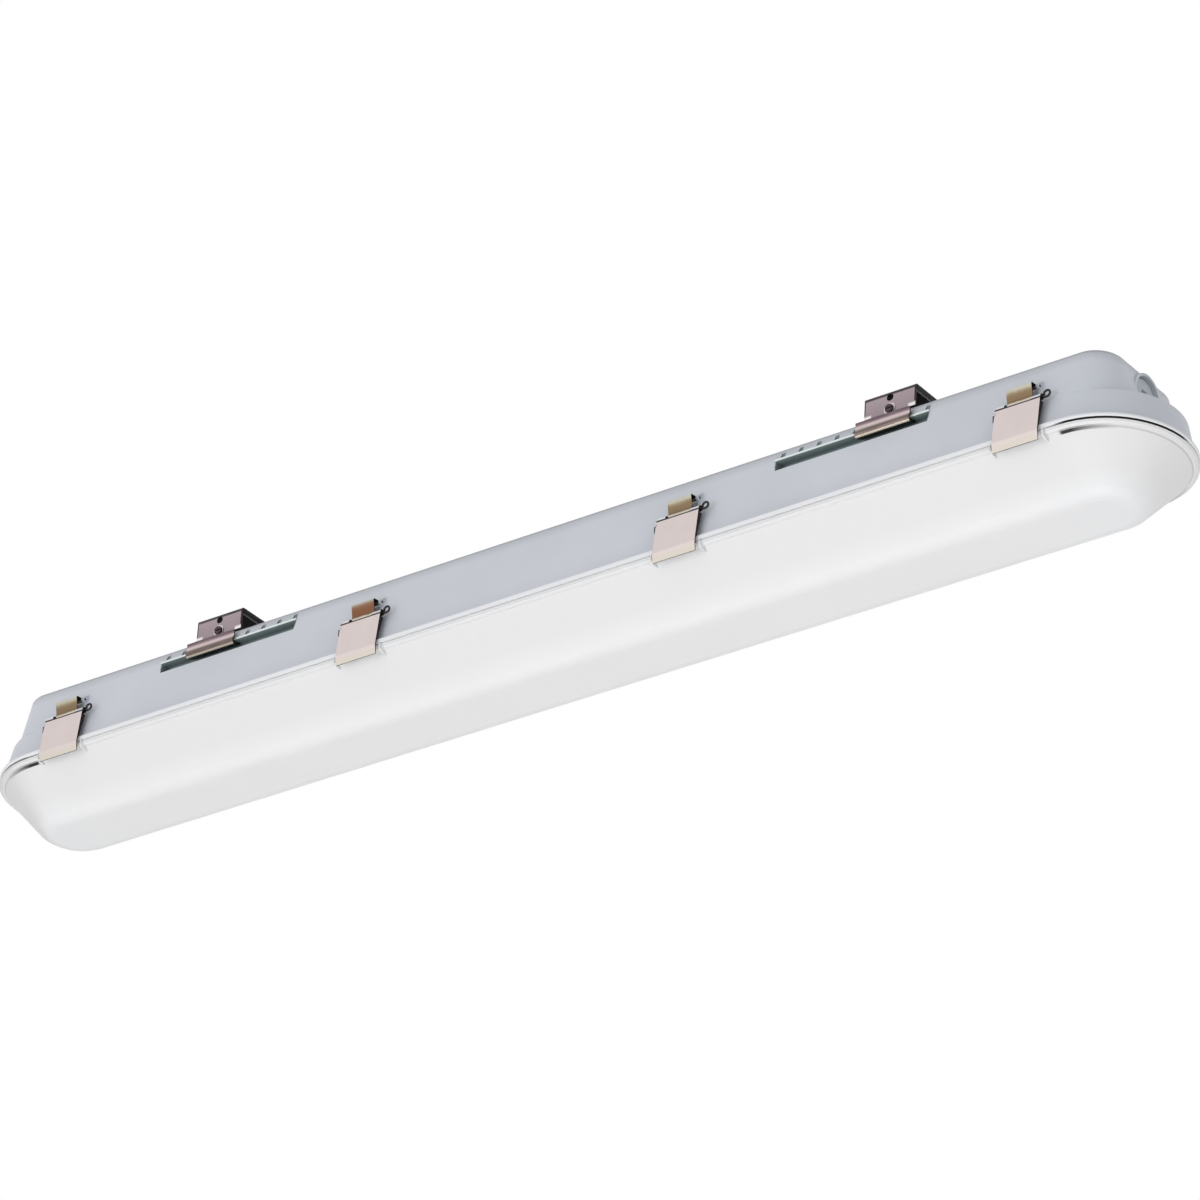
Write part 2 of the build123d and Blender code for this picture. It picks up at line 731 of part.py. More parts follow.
for bracket_side, bracket_x in (("left", -screw_spacing / 2), ("right", screw_spacing / 2)):
    outer_face = bracket_half_depth + bracket_sheet / 2
    with BuildPart() as ceiling_bracket:
        with BuildSketch(section(bracket_x - bar_half_width)):
            with BuildLine():
                FilletPolyline(
                    *bracket_profile, *[(-reach, height) for reach, height in reversed(bracket_profile)],
                    radius=bracket_bend)
            trace(line_width=bracket_sheet)
        extrude(amount=2 * bar_half_width)
        with BuildSketch(facing(bracket_x, -1)):
            for end in (-1, 1):
                trim_width = bar_half_width + 1 - bracket_width / 2
                with Locations((end * (bracket_width + trim_width) / 2, (neck_high - joint_line_z) / 2)):
                    Rectangle(trim_width, -joint_line_z - neck_high + 2)
                neck_width = bar_half_width + 1 - neck_half_width
                with Locations((end * (neck_half_width + neck_width / 2), (neck_low + neck_high) / 2)):
                    Rectangle(neck_width, neck_high - neck_low)
            with Locations((0, screw_height)):
                Circle(bracket_screw_radius + eye_clearance)
            with Locations((0, upper_hole_height)):
                Circle(upper_hole_radius)
        extrude(amount=rim_width / 2, both=True, mode=Mode.SUBTRACT)
        with BuildSketch(Plane(origin=(bracket_x, 0, 0))):
            Circle(ceiling_hole_radius)
        extrude(amount=-2 * bracket_sheet, mode=Mode.SUBTRACT)
        for side in (-1, 1):
            with BuildSketch(facing(bracket_x, side).offset(outer_face)):
                with Locations((0, screw_height)):
                    Circle(5.5)
                    Circle(4.6, mode=Mode.SUBTRACT)
            extrude(amount=0.5)
    finish(ceiling_bracket, f"ceiling_bracket_{bracket_side}")

    with BuildPart() as bracket_screws:
        for side in (-1, 1):
            screws(
                facing(bracket_x, side).offset(outer_face), [(0, screw_height)], 3.9, 2.0,
                bracket_screw_radius, 6.5, slot_width=1.1)
    finish(bracket_screws, f"bracket_screws_{bracket_side}")

    with BuildPart() as bracket_nuts:
        for side in (-1, 1):
            with BuildSketch(facing(bracket_x, side).offset(outer_face - bracket_sheet)):
                with Locations((0, screw_height)):
                    RegularPolygon(4.6, 6)
                    Circle(bracket_screw_radius + eye_clearance, mode=Mode.SUBTRACT)
            extrude(amount=-4.0)
    finish(bracket_nuts, f"bracket_nuts_{bracket_side}")
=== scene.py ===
import math
import bmesh
import bpy
from mathutils import Matrix, Vector


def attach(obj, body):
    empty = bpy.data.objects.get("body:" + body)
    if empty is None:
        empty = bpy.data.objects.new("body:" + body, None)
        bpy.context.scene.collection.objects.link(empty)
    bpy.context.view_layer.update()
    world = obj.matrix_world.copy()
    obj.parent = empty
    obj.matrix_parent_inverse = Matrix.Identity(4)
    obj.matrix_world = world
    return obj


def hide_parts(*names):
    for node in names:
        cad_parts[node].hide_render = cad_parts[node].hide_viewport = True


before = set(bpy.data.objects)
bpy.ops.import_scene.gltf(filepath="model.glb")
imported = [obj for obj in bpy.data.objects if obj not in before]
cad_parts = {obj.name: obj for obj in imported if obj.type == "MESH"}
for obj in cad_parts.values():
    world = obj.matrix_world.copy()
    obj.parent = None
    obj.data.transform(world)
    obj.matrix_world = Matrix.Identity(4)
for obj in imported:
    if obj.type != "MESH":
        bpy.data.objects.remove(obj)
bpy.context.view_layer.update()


# The white room
# The fixture hangs in the open in front of a plain white background, with a pale floor far below.
# Large soft lamps stand in front, below and on the right, as in a studio for product pictures.

class Link:
    """An output socket of a node tree, on which shader maths is written as Python expressions."""

    def __init__(self, nodes, socket):
        self.nodes = nodes
        self.socket = socket

    def maths(self, operation, first, second):
        return self.nodes.add("ShaderNodeMath", {"operation": operation}, {0: first, 1: second})

    def __add__(self, other):
        return self.maths("ADD", self, other)

    def __radd__(self, other):
        return self.maths("ADD", other, self)

    def __sub__(self, other):
        return self.maths("SUBTRACT", self, other)

    def __rsub__(self, other):
        return self.maths("SUBTRACT", other, self)

    def __mul__(self, other):
        return self.maths("MULTIPLY", self, other)

    def __rmul__(self, other):
        return self.maths("MULTIPLY", other, self)

    def __abs__(self):
        return self.maths("ABSOLUTE", self, 0.0)

    def off(self, pitch):
        """Distance from the nearest of the marks that a pitch puts on this axis."""
        return self.maths("PINGPONG", self, pitch / 2)

    def step(self, first, last):
        """0 up to the first value, 1 from the last one on, and a straight climb between."""
        return self.nodes.add("ShaderNodeMapRange", None, {0: self, 1: first, 2: last})

    def band(self, low, full, still_full, high):
        """1 between the two middle values, 0 outside the two outer ones, and a climb between."""
        return self.step(low, full) * self.step(high, still_full)


class Nodes:
    """The nodes of a world or a material, made one at a time."""

    def __init__(self, owner):
        owner.use_nodes = True
        self.tree = owner.node_tree
        self.tree.nodes.clear()

    def add(self, kind, settings=None, values=None, output=0):
        node = self.tree.nodes.new(kind)
        for name, value in (settings or {}).items():
            if name == "stops":
                ramp = node.color_ramp.elements
                while len(ramp) < len(value):
                    ramp.new(0.5)
                for stop, (position, colour) in zip(ramp, value):
                    stop.position = position
                    stop.color = (*colour, 1)
            else:
                setattr(node, name, value)
        for name, value in (values or {}).items():
            if isinstance(value, Link):
                self.tree.links.new(value.socket, node.inputs[name])
            elif isinstance(value, tuple) and len(value) == 3 and node.inputs[name].type == "RGBA":
                node.inputs[name].default_value = (*value, 1)
            else:
                node.inputs[name].default_value = value
        return Link(self, node.outputs[output]) if node.outputs else None


def light(red, green, blue):
    """A colour as a paint chart or a screen gives it, 0 to 255, turned into amounts of light."""
    return tuple(
        level / 255 / 12.92 if level <= 10 else ((level / 255 + 0.055) / 1.055) ** 2.4
        for level in (red, green, blue))


room_light = 0.62
room = bpy.data.worlds.new("white_room")
room_nodes = Nodes(room)
by_camera, in_gloss, through_glass = (
    room_nodes.add("ShaderNodeLightPath", output=name)
    for name in ("Is Camera Ray", "Is Glossy Ray", "Is Transmission Ray"))
shown_white = room_nodes.add(
    "ShaderNodeMath", {"operation": "ADD", "use_clamp": True},
    {0: by_camera + in_gloss, 1: through_glass})
room_nodes.add("ShaderNodeOutputWorld", None, {"Surface": room_nodes.add(
    "ShaderNodeBackground", None, {
        "Color": (1.0, 1.0, 1.0), "Strength": shown_white * (1.0 - room_light) + room_light})})
bpy.context.scene.world = room

# What the floor's white leaves over is its real shading, which keeps the fixture's shadow
floor_drop = 9.0
floor_half = 21.0
floor_white_share = 0.98
shape = bmesh.new()
bmesh.ops.create_grid(
    shape, x_segments=1, y_segments=1, size=floor_half,
    matrix=Matrix.Translation((0, 0, -floor_drop)))
floor_mesh = bpy.data.meshes.new("floor")
shape.to_mesh(floor_mesh)
shape.free()
floor = bpy.data.objects.new("floor", floor_mesh)
bpy.context.scene.collection.objects.link(floor)
floor_paint = bpy.data.materials.new("floor_paint")
floor_nodes = Nodes(floor_paint)
floor_seen = floor_nodes.add("ShaderNodeLightPath", output="Is Camera Ray")
floor_coat = floor_nodes.add(
    "ShaderNodeBsdfPrincipled", None, {"Base Color": (0.86, 0.86, 0.86), "Roughness": 0.9})
floor_white = floor_nodes.add(
    "ShaderNodeEmission", None, {"Color": (1.0, 1.0, 1.0), "Strength": 1.0})
floor_nodes.add("ShaderNodeOutputMaterial", None, {"Surface": floor_nodes.add(
    "ShaderNodeMixShader", None,
    {0: floor_seen * floor_white_share, 1: floor_coat, 2: floor_white})})
floor_mesh.materials.append(floor_paint)

lamp_target = Vector((0, 0, -0.1))
for lamp_name, place, size, power in (
        ("front_lamp", (-1.0, -4.4, -1.6), 3.0, 62.0),
        ("low_lamp", (0.2, -1.2, -4.6), 3.4, 95.0),
        ("right_lamp", (4.2, -0.8, -2.2), 2.4, 34.0)):
    lamp = bpy.data.lights.new(lamp_name, "AREA")
    lamp.shape = "SQUARE"
    lamp.size = size
    lamp.energy = power
    stand = bpy.data.objects.new(lamp_name, lamp)
    aim = (lamp_target - Vector(place)).to_track_quat("-Z", "Y")
    stand.matrix_world = Matrix.Translation(place) @ aim.to_matrix().to_4x4()
    bpy.context.scene.collection.objects.link(stand)

eye = (3.00645, -3.75022, -2.81867)
right = Vector((0.80146, 0.59534, 0.05684))
down = Vector((-0.25729, 0.42904, -0.86587))
forward = Vector((-0.53987, 0.67933, 0.49704))
lens = bpy.data.cameras.new("camera")
lens.sensor_width = 36.0
lens.lens = 189.965
lens.clip_start = 0.1
lens.clip_end = 100.0
camera = bpy.data.objects.new("camera", lens)
turned = Matrix((right, -down, -forward)).transposed().to_4x4()
camera.matrix_world = Matrix.Translation(eye) @ turned
bpy.context.scene.collection.objects.link(camera)
bpy.context.scene.camera = camera
bpy.context.scene.view_settings.view_transform = "Standard"


# Housing
# One injection moulding in pale grey, glass-filled polyester: a tub with a long hump over it. The
# mould leaves a fine satin grain, with slightly duller patches where the resin flowed last.

class Finish(Nodes):
    """A material with one Principled shader."""

    def __init__(self, name, **constants):
        self.material = bpy.data.materials.new(name)
        super().__init__(self.material)
        self.shader = self.tree.nodes.new("ShaderNodeBsdfPrincipled")
        for socket, value in constants.items():
            self.shader.inputs[socket.replace("_", " ")].default_value = value
        self.add("ShaderNodeOutputMaterial", None, {"Surface": Link(self, self.shader.outputs[0])})
        self.place = self.add("ShaderNodeTexCoord", output="Object")
        self.x, self.y, self.z = (
            self.add("ShaderNodeSeparateXYZ", None, {0: self.place}, output=axis) for axis in "XYZ")

    def connect(self, **links):
        for socket, link in links.items():
            self.tree.links.new(link.socket, self.shader.inputs[socket.replace("_", " ")])

    def facing(self, axis):
        """How far the surface faces along an axis, from -1 to 1."""
        normal = self.add("ShaderNodeNewGeometry", output="Normal")
        return self.add("ShaderNodeSeparateXYZ", None, {0: normal}, output=axis)

    def stretched(self, x, y, z):
        """The place on the piece, with each direction scaled."""
        return self.add("ShaderNodeMapping", None, {"Vector": self.place, "Scale": (x, y, z)})

    def noise(self, scale, detail, place=None):
        return self.add("ShaderNodeTexNoise", None, {
            "Vector": place or self.place, "Scale": scale, "Detail": detail})

    def ramp(self, amount, *stops):
        return self.add("ShaderNodeValToRGB", {"stops": stops}, {"Fac": amount})

    def mix(self, amount, first, second):
        return self.add(
            "ShaderNodeMix", {"data_type": "RGBA"}, {0: amount, 6: first, 7: second}, output=2)

    def bump(self, height, depth, strength, before=None):
        values = {"Height": height, "Distance": depth, "Strength": strength}
        if before:
            values["Normal"] = before
        return self.add("ShaderNodeBump", None, values)


def dress(finish, *nodes):
    """Give CAD nodes a finish in place of the plain one they come with."""
    for node in nodes:
        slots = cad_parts[node].data.materials
        for index in range(len(slots)):
            slots[index] = finish.material


mm = 0.001
middle_x = -8.0 * mm
joint_z = -101.5 * mm
wall_foot, wall_draft = 72.7 * mm, 0.2071
slot_centre = 341.0 * mm
slot_half_length = 78.0 * mm
slot_low, slot_high = 54.0 * mm, 63.7 * mm
rail_reach = 61.9 * mm
rail_top = 66.0 * mm
tooth_pitch = 18.5 * mm
tooth_width = 2.4 * mm
tooth_top = 73.0 * mm
lug_low = 20.0 * mm
rim_top = 4.0 * mm
hump_top = 78.0 * mm
round_end = 552.0 * mm
round_end_fade = 8.0 * mm
end_shade_span = (560.0 * mm, 620.0 * mm)
line_start = 12.0 * mm
faint_line_end = (612.0 * mm, 585.0 * mm)
# Length times depth in square metres, above 0 at two opposite corners and below 0 at the others
corner_product = 0.003


def joint_shade_line(finish):
    """The dark joint line round both ends, the black gasket with painted shade in the gap: whole at
    two corners, faint at the other two.
    """
    along = finish.x - middle_x
    whole = (along * finish.y).step(corner_product, -corner_product)
    faint = 0.5 * (1 - whole) * abs(along).step(*faint_line_end)
    return abs(along).step(round_end, round_end + line_start) * (whole + faint)


moulding = Finish("housing_moulding", IOR=1.5)
height = moulding.z - joint_z
inwards = wall_foot - wall_draft * (height - rim_top) - abs(moulding.y)
from_middle = abs(moulding.x - middle_x)
from_slot = abs(from_middle - slot_centre)
on_right = moulding.x.step(-mm, mm)
across = abs(moulding.facing("X"))
# Painted shade in the slots, beside their teeth and on the teeth's flanks, a painted highlight on
# the rail over them, and the darker lugs
over_slot = from_slot.step(slot_half_length + 1.2 * mm, slot_half_length + 0.6 * mm)
slot_shade = (
    height.band(slot_low - 0.3 * mm, slot_low, slot_high + 0.1 * mm, slot_high + 0.3 * mm)
    * abs(moulding.y).step(rail_reach - 0.1 * mm, rail_reach - 0.5 * mm) * over_slot)
tooth_flank_shade = (
    height.band(rail_top - 0.4 * mm, rail_top, tooth_top - 0.5 * mm, tooth_top)
    * inwards.step(0.2 * mm, 0.0) * across.step(0.5, 0.7) * over_slot)
along_slot = moulding.x - middle_x + slot_centre - 2 * slot_centre * on_right
from_tooth = (along_slot - 1.2 * tooth_width).off(tooth_pitch)
tooth_side_shade = (
    height.band(rail_top, rail_top + 0.4 * mm, tooth_top - 1.8 * mm, tooth_top - 1.0 * mm)
    * from_tooth.step(0.85 * tooth_width, 0.7 * tooth_width) * over_slot)
rail_highlight = (
    height.band(slot_high - 0.1 * mm, slot_high + 0.1 * mm, rail_top - 0.6 * mm, rail_top)
    * inwards.step(0.2 * mm, -0.4 * mm) * over_slot)
on_lug = inwards.step(-0.5 * mm, -1.5 * mm) * height.step(lug_low, lug_low + 5.0 * mm)
# Painted shade along the hump's upper edge, a painted highlight along the rim, and the black line
# under its ends, partly painted shade in the joint
top_edge_shade = height.step(hump_top, hump_top - mm) * (
    0.4 * height.step(hump_top - 14.0 * mm, hump_top - 5.0 * mm)
    + 0.6 * height.step(hump_top - 5.5 * mm, hump_top - 3.0 * mm))
near_end = from_middle.step(round_end - round_end_fade, round_end + 4.0 * mm)
rim_highlight = (height + 2.0 * mm * near_end).step(rim_top + 2.0 * mm, rim_top - 1.0 * mm)
rim_gap_shade = height.step(0.4 * mm, 0.1 * mm) * joint_shade_line(moulding)
patches = moulding.noise(9.0, 4.0)
grain = moulding.noise(1400.0, 2.0)
skin = moulding.mix(patches.step(0.35, 0.7), light(207, 211, 218), light(200, 204, 212))
# Painted shade: the skin darker towards both ends, most at the right end
skin = moulding.mix(
    from_middle.step(*end_shade_span) * (0.25 + 0.75 * on_right), skin, light(191, 195, 203))
skin = moulding.mix(top_edge_shade, skin, light(152, 157, 163))
rim_highlight_colour = moulding.mix(near_end, light(232, 233, 236), light(246, 247, 249))
for mark, colour in (
        (rim_highlight, rim_highlight_colour),
        (rim_gap_shade, light(16, 16, 17)),
        (on_lug, light(186, 190, 198)),
        (rail_highlight, light(222, 230, 230)),
        (slot_shade, light(124, 137, 138)),
        (tooth_side_shade, light(104, 116, 120)),
        (tooth_flank_shade, light(92, 104, 106))):
    skin = moulding.mix(mark, skin, colour)
moulding.connect(
    Base_Color=skin,
    Roughness=0.36 + 0.16 * moulding.noise(40.0, 3.0),
    Normal=moulding.bump(grain, 0.00006, 0.6))
dress(moulding, "housing", "latch_lugs")


# Rim gasket and plug seals
# A foamed silicone bead in the groove under the rim, pale along the sides and black round the ends,
# and two cut black washers behind the plugs. The skin is matt, with fine pores.

rubber = Finish("gasket_rubber", IOR=1.45)
pores = rubber.noise(2200.0, 2.0)
at_end = abs(rubber.x - middle_x).step(round_end - round_end_fade, round_end)
rubber.connect(
    Base_Color=rubber.mix(
        at_end,
        rubber.mix(rubber.noise(120.0, 3.0), light(232, 233, 234), light(222, 223, 225)),
        rubber.mix(rubber.noise(120.0, 3.0), light(22, 22, 23), light(36, 36, 37))),
    Roughness=0.7 + 0.2 * pores,
    Normal=rubber.bump(pores, 0.0001, 0.5))
dress(rubber, "rim_gasket", "plug_seals")


# Diffuser
# A thin boat of frosted acrylic, with fine prism lines moulded across its inside. It closes the
# housing from below, and the latches pull it up by its flange.

prism_pitch = 1.8 * mm
plain_end = (480.0 * mm, 600.0 * mm)
shaded_end = (540.0 * mm, 590.0 * mm)
wall_shade_depths = (-44.0 * mm, -30.0 * mm)
gasket_shade = (-1.7 * mm, -1.5 * mm, -1.0 * mm, -0.6 * mm)
flange_edge = (-3.4 * mm, -3.1 * mm, -2.8 * mm, -2.5 * mm)
flange_shade = (-7.3 * mm, -6.9 * mm, -5.1 * mm, -4.9 * mm)
flange_root = (-6.4 * mm, -6.1 * mm, -5.2 * mm, -5.0 * mm)
crescent_start = (556.0 * mm, 559.0 * mm)
crescent_end = (604.0 * mm, 568.0 * mm)
left_crescent_shift = 8.0 * mm

frost = Finish("frosted_acrylic", IOR=1.49, Transmission_Weight=0.2)
cloud = frost.noise(14.0, 3.0)
prism = frost.x.off(prism_pitch) * (1.0 / mm)
from_middle = abs(frost.x - middle_x)
depth = frost.z - joint_z
sideways, upwards = frost.facing("X"), frost.facing("Z")
downwards = upwards.step(0.0, -0.1)
# The painted shadow crescents under the flange start and end nearer to the middle on the left
along_end = from_middle + left_crescent_shift * (frost.x - middle_x).step(mm, -mm)
past_start = along_end.step(*crescent_start)
left_end_shade = sideways.step(-0.1, -0.4) * from_middle.step(*shaded_end)
flange_root_shade = 0.6 * depth.band(*flange_root) * downwards * past_start
shadow_crescent = depth.band(*flange_shade) * downwards * past_start * along_end.step(*crescent_end)
flange_gap_shade = depth.band(*gasket_shade) * abs(upwards).step(0.6, 0.4) * joint_shade_line(frost)
body_colour = frost.mix(
    from_middle.step(*plain_end),
    frost.mix(cloud, light(240, 240, 241), light(244, 244, 245)),
    light(241, 242, 243))
# Painted shade on the frost: a slightly darker upper wall, a darker left end, a grey line at the
# flange's root, the black shadow crescents, and black in the joint on the flange's upper edge. A
# faint grey line also runs along the flange's chamfer.
for mark, colour in (
        (depth.step(*wall_shade_depths), light(236, 236, 237)),
        (left_end_shade, light(222, 222, 223)),
        (flange_root_shade, light(186, 186, 188)),
        (0.25 * depth.band(*flange_edge), light(150, 150, 152)),
        (shadow_crescent, light(12, 12, 13)),
        (flange_gap_shade, light(16, 16, 17))):
    body_colour = frost.mix(mark, body_colour, colour)
frost.connect(
    Base_Color=body_colour,
    Roughness=0.42 + 0.1 * frost.noise(60.0, 3.0),
    Normal=frost.bump(
        prism, 0.00002, 0.35, frost.bump(frost.noise(900.0, 2.0), 0.00008, 0.4)))
dress(frost, "diffuser")


# Gear tray and boards
# A pan of white powder-coated steel carries the light boards below and the driver above. The boards
# have a white solder mask, and their chips a yellow phosphor.

coat = Finish("white_powder_coat", IOR=1.5)
peel = coat.noise(520.0, 2.0)
coat.connect(
    Base_Color=coat.mix(coat.noise(18.0, 3.0), light(236, 237, 236), light(228, 230, 229)),
    Roughness=0.34 + 0.14 * peel,
    Normal=coat.bump(peel, 0.0001, 0.35))
dress(coat, "gear_tray")

mask = Finish("white_solder_mask", IOR=1.5)
weave = mask.noise(700.0, 1.0, mask.stretched(1.0, 3.0, 1.0))
mask.connect(
    Base_Color=mask.mix(weave, light(238, 240, 240), light(226, 229, 229)),
    Roughness=0.3 + 0.2 * weave,
    Normal=mask.bump(weave, 0.00003, 0.4))
dress(mask, "led_board_left", "led_board_right")

phosphor = Finish("phosphor_chip", IOR=1.5)
flecks = phosphor.noise(4000.0, 2.0)
phosphor.connect(
    Base_Color=phosphor.mix(flecks, light(244, 226, 120), light(236, 205, 88)),
    Roughness=0.35 + 0.3 * flecks,
    Normal=phosphor.bump(flecks, 0.00002, 0.5))
dress(phosphor, "led_chips_left", "led_chips_right")

plastic = Finish("white_nylon", IOR=1.5)
nylon_grain = plastic.noise(1500.0, 2.0)
plastic.connect(
    Base_Color=plastic.mix(plastic.noise(90.0, 3.0), light(232, 230, 224), light(222, 220, 213)),
    Roughness=0.4 + 0.2 * nylon_grain,
    Normal=plastic.bump(nylon_grain, 0.00004, 0.5))
dress(plastic, "board_connectors", "terminal_block", "led_driver")

zinc = Finish("zinc_plate", Metallic=1.0)
spangle = zinc.noise(900.0, 3.0)
zinc.connect(
    Base_Color=zinc.mix(spangle, light(205, 206, 204), light(184, 186, 188)),
    Roughness=0.28 + 0.2 * zinc.noise(300.0, 3.0),
    Normal=zinc.bump(spangle, 0.00003, 0.4))
dress(
    zinc, "tray_screws", "board_screws", "driver_screws", "bracket_nuts_left",
    "bracket_nuts_right")

brass = Finish("clamp_brass", Metallic=1.0)
tarnish = brass.noise(700.0, 3.0)
brass.connect(
    Base_Color=brass.mix(tarnish, light(214, 186, 118), light(178, 146, 84)),
    Roughness=0.26 + 0.25 * tarnish,
    Normal=brass.bump(tarnish, 0.00002, 0.4))
dress(brass, "terminal_screws")

green = Finish("green_passivate", Metallic=1.0)
mottle = green.noise(600.0, 3.0)
green.connect(
    Base_Color=green.mix(mottle, light(88, 150, 96), light(66, 122, 78)),
    Roughness=0.3 + 0.25 * mottle,
    Normal=green.bump(mottle, 0.00002, 0.4))
dress(green, "ground_screw")

for name, first, second, nodes in (
        ("grommet_rubber", light(30, 30, 31), light(46, 46, 47), ("lead_grommet",)),
        ("white_lead_jacket", light(232, 231, 228), light(216, 215, 211),
         ("output_leads", "board_jumper")),
        ("black_lead_jacket", light(34, 34, 36), light(52, 52, 54), ("input_leads",)),
        ("green_lead_jacket", light(38, 128, 62), light(30, 104, 50), ("ground_lead",))):
    jacket = Finish(name, IOR=1.5)
    jacket_grain = jacket.noise(1100.0, 2.0)
    jacket.connect(
        Base_Color=jacket.mix(jacket.noise(70.0, 3.0), first, second),
        Roughness=0.42 + 0.2 * jacket_grain,
        Normal=jacket.bump(jacket_grain, 0.00004, 0.5))
    dress(jacket, *nodes)


# Entry plugs
# Moulded grey plugs in the end walls, with a six-sided socket for the key. They close the entries
# that carry no cable.

plug_nylon = Finish("grey_nylon", IOR=1.5)
plug_grain = plug_nylon.noise(1300.0, 2.0)
plug_nylon.connect(
    Base_Color=plug_nylon.mix(
        plug_nylon.noise(60.0, 3.0), light(182, 188, 193), light(170, 177, 183)),
    Roughness=0.4 + 0.2 * plug_grain,
    Normal=plug_nylon.bump(plug_grain, 0.00005, 0.5))
dress(plug_nylon, "entry_plug_left", "entry_plug_right")


# Latches
# Each latch is a hook strap on the housing's pin and a lever plate on the strap's own pin, pressed
# from satin stainless strip. The grain runs down the strip, and the heat of forming tints it.

weld_distance = 0.002 * mm
flat_angle = math.radians(0.5)
edge_angle = math.radians(40.0)
square_on = 0.9
outer_face, cut_edge, inner_face = range(3)


def pressed_sheet(name, node, body, rounding, finishes, choose, detail=None):
    """A bent sheet from a CAD node's mesh: facets joined, edges rounded, a finish for each face."""
    shape = bmesh.new()
    shape.from_mesh(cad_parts[node].data)
    bmesh.ops.remove_doubles(shape, verts=shape.verts, dist=weld_distance)
    bmesh.ops.dissolve_limit(
        shape, angle_limit=flat_angle, verts=shape.verts, edges=shape.edges)
    if detail:
        detail(shape)
    for face in shape.faces:
        face.smooth = True
        face.material_index = choose(face)
    mesh = bpy.data.meshes.new(name)
    shape.to_mesh(mesh)
    shape.free()
    for finish in finishes:
        mesh.materials.append(finish.material)
    piece = bpy.data.objects.new(name, mesh)
    bpy.context.scene.collection.objects.link(piece)
    bevel = piece.modifiers.new("rounded_edges", "BEVEL")
    bevel.width = rounding
    bevel.segments = 2
    bevel.limit_method = "ANGLE"
    bevel.angle_limit = edge_angle
    piece.modifiers.new("even_shading", "WEIGHTED_NORMAL")
    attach(piece, body)
    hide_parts(node)


latch_spacing = 346.0 * mm
plate_half_width = 22.3 * mm
plate_top = 31.2 * mm
plate_rounding, strap_rounding = 0.15 * mm, 0.12 * mm
lip_reflection = (-3.5 * mm, -8.0 * mm)
knuckle_inner = 13.1 * mm
return_thickness = 0.8 * mm
return_outline = ((76.3, 28.5), (71.8, 28.0), (77.3, 4.0), (78.9, 1.0))
stop_size = Vector((1.6, 1.2, 6.0)) * mm
stop_reach, stop_height, stop_sink = 76.6 * mm, 23.0 * mm, 0.2 * mm
tab_foot, tab_length = 34.0 * mm, 16.0 * mm
hot_half_width = (20.0 * mm, 18.0 * mm)
hot_height = (36.0 * mm, 37.0 * mm, 46.0 * mm, 49.0 * mm)
down_the_strip = (2600.0, 160.0, 120.0)
along_the_pin = (200.0, 3000.0, 3000.0)

strip = Finish("satin_stainless", Metallic=1.0)
drawn = strip.noise(1.0, 3.0, strip.stretched(*down_the_strip))
plate_height = strip.z - joint_z
from_latch = (strip.x - middle_x - latch_spacing / 2).off(latch_spacing)
plate_top_shadow = plate_height.step(plate_top - 1.2 * mm, plate_top - 0.9 * mm)
knuckle_reflection = (
    from_latch.step(knuckle_inner - 0.1 * mm, knuckle_inner + 0.1 * mm)
    * plate_height.step(plate_top + 0.5 * mm, plate_top + 0.9 * mm))
face_colour = strip.mix(strip.noise(55.0, 3.0), light(216, 205, 203), light(208, 196, 194))
# Painted light on the strip: a cream reflection on the lip, a dark shadow band along the top edge,
# and the housing's pale grey reflected on the knuckles
for mark, colour in (
        (plate_height.step(*lip_reflection), light(208, 201, 190)),
        (plate_top_shadow, light(70, 60, 60)),
        (knuckle_reflection, light(212, 215, 220))):
    face_colour = strip.mix(mark, face_colour, colour)
strip.connect(
    Base_Color=face_colour,
    Roughness=0.38 + 0.16 * drawn,
    Normal=strip.bump(drawn, 0.00003, 0.5))

strip_back = Finish("stainless_back", Metallic=1.0)
back_grain = strip_back.noise(1.0, 3.0, strip_back.stretched(*down_the_strip))
strip_back.connect(
    Base_Color=strip_back.mix(
        strip_back.noise(70.0, 3.0), light(186, 178, 174), light(160, 152, 149)),
    Roughness=0.34 + 0.2 * back_grain,
    Normal=strip_back.bump(back_grain, 0.00003, 0.5))

# Cut edges, side returns and stops are painted near black, as shade
edge_shade_finish = Finish("edge_painted_shade", Metallic=1.0)
burr = edge_shade_finish.noise(1600.0, 3.0)
edge_shade_finish.connect(
    Base_Color=edge_shade_finish.mix(burr, light(38, 35, 36), light(62, 58, 58)),
    Roughness=0.35 + 0.3 * burr,
    Normal=edge_shade_finish.bump(burr, 0.00002, 0.5))

tinted = Finish("tinted_stainless", Metallic=1.0)
tab_height = tinted.z - joint_z
tinted_grain = tinted.noise(1.0, 3.0, tinted.stretched(*down_the_strip))
# A brown heat tint up the tab's middle, with painted highlights pale at its foot and top
tint_and_highlights = tinted.ramp(
    (tab_height - tab_foot) * (1.0 / tab_length) + 0.12 * tinted.noise(160.0, 3.0),
    (0.0, light(206, 200, 188)), (0.14, light(200, 192, 176)), (0.2, light(124, 105, 81)),
    (0.56, light(132, 113, 88)), (0.7, light(150, 136, 111)), (0.8, light(178, 171, 152)),
    (1.0, light(192, 192, 186)))
# One tab of the front row came out of the forming hotter, and is a redder brown
from_second_latch = abs(tinted.x - middle_x + latch_spacing / 2)
hot_spot = (
    from_second_latch.step(*hot_half_width) * tinted.y.step(0.0, -mm)
    * tab_height.band(*hot_height))
tinted.connect(
    Base_Color=tinted.mix(0.75 * hot_spot, tint_and_highlights, light(124, 78, 58)),
    Roughness=0.28 + 0.18 * tinted_grain,
    Normal=tinted.bump(tinted_grain, 0.00003, 0.5))

